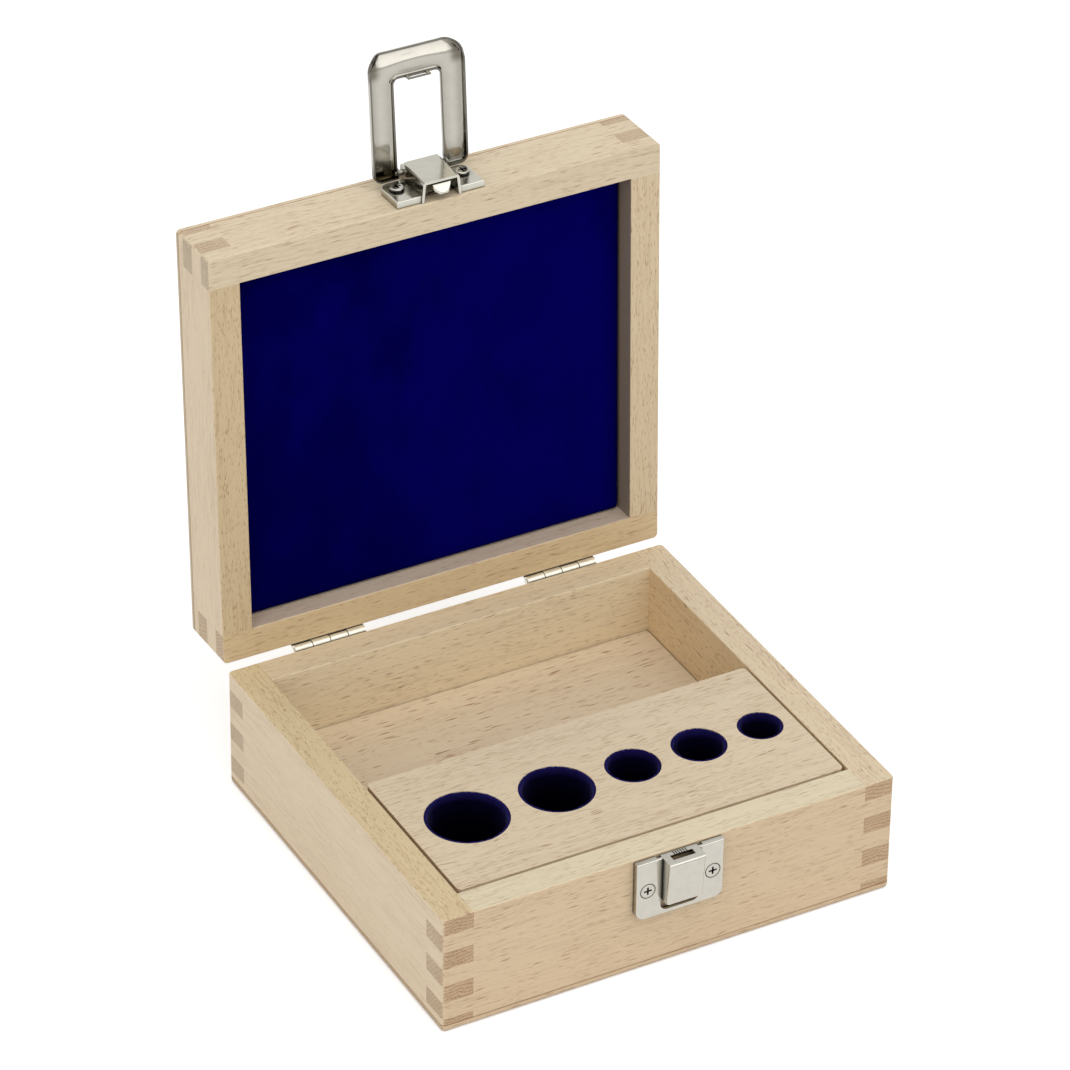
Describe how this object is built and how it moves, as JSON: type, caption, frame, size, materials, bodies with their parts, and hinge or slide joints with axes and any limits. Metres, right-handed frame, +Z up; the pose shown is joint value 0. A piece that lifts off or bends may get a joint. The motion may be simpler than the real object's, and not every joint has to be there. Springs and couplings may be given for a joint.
{
  "type": "weight set case",
  "caption": "Hinged wooden case with a padded lid, a bored block of velvet-lined seats for knob weights, a rear compartment, and a bail latch with a keeper.",
  "frame": {"origin": "centre of the underside of the base", "axes": "+X right along the front, +Y towards the hinges, +Z up"},
  "size_m": [0.15, 0.1755, 0.2217],
  "materials": {
    "beech": "fine sanded",
    "beech_insert": "fine sanded",
    "velvet": "napped",
    "foam": "open cell",
    "nickel_plate": "bright nickel",
    "screw_nickel": "bright nickel",
    "hinge_steel": "satin nickel"
  },
  "bodies": {
    "base": {"front_board": "beech", "back_board": "beech", "left_board": "beech", "right_board": "beech", "bottom_panel": "beech", "weight_block": "beech_insert", "velvet_cup_1": "velvet", "velvet_cup_2": "velvet", "velvet_cup_3": "velvet", "velvet_cup_4": "velvet", "velvet_cup_5": "velvet", "compartment_floor": "beech_insert", "keeper_plate": "nickel_plate", "keeper_screws": "screw_nickel", "hinge_base_leaf_left": "hinge_steel", "hinge_base_leaf_right": "hinge_steel", "hinge_pin_left": "hinge_steel", "hinge_pin_right": "hinge_steel"},
    "lid": {"lid_front_board": "beech", "lid_back_board": "beech", "lid_left_board": "beech", "lid_right_board": "beech", "lid_top_panel": "beech", "lid_pad": "foam", "lid_velvet": "velvet", "latch_plate": "nickel_plate", "latch_spring": "nickel_plate", "latch_screws": "screw_nickel", "hinge_lid_leaf_left": "hinge_steel", "hinge_lid_leaf_right": "hinge_steel"},
    "bail": {"bail_frame": "nickel_plate", "bail_pin": "nickel_plate"}
  },
  "joints": [
    {"name": "lid_hinge", "type": "hinge", "parent": "base", "child": "lid", "pos_m": [0, 0.07105, 0.0399], "axis": [1, 0, 0], "range_deg": [0, 92]},
    {"name": "bail_pivot", "type": "hinge", "parent": "lid", "child": "bail", "pos_m": [0.0015, 0.0905, 0.18436], "axis": [1, 0, 0], "range_deg": [0, 92.6]}
  ]
}
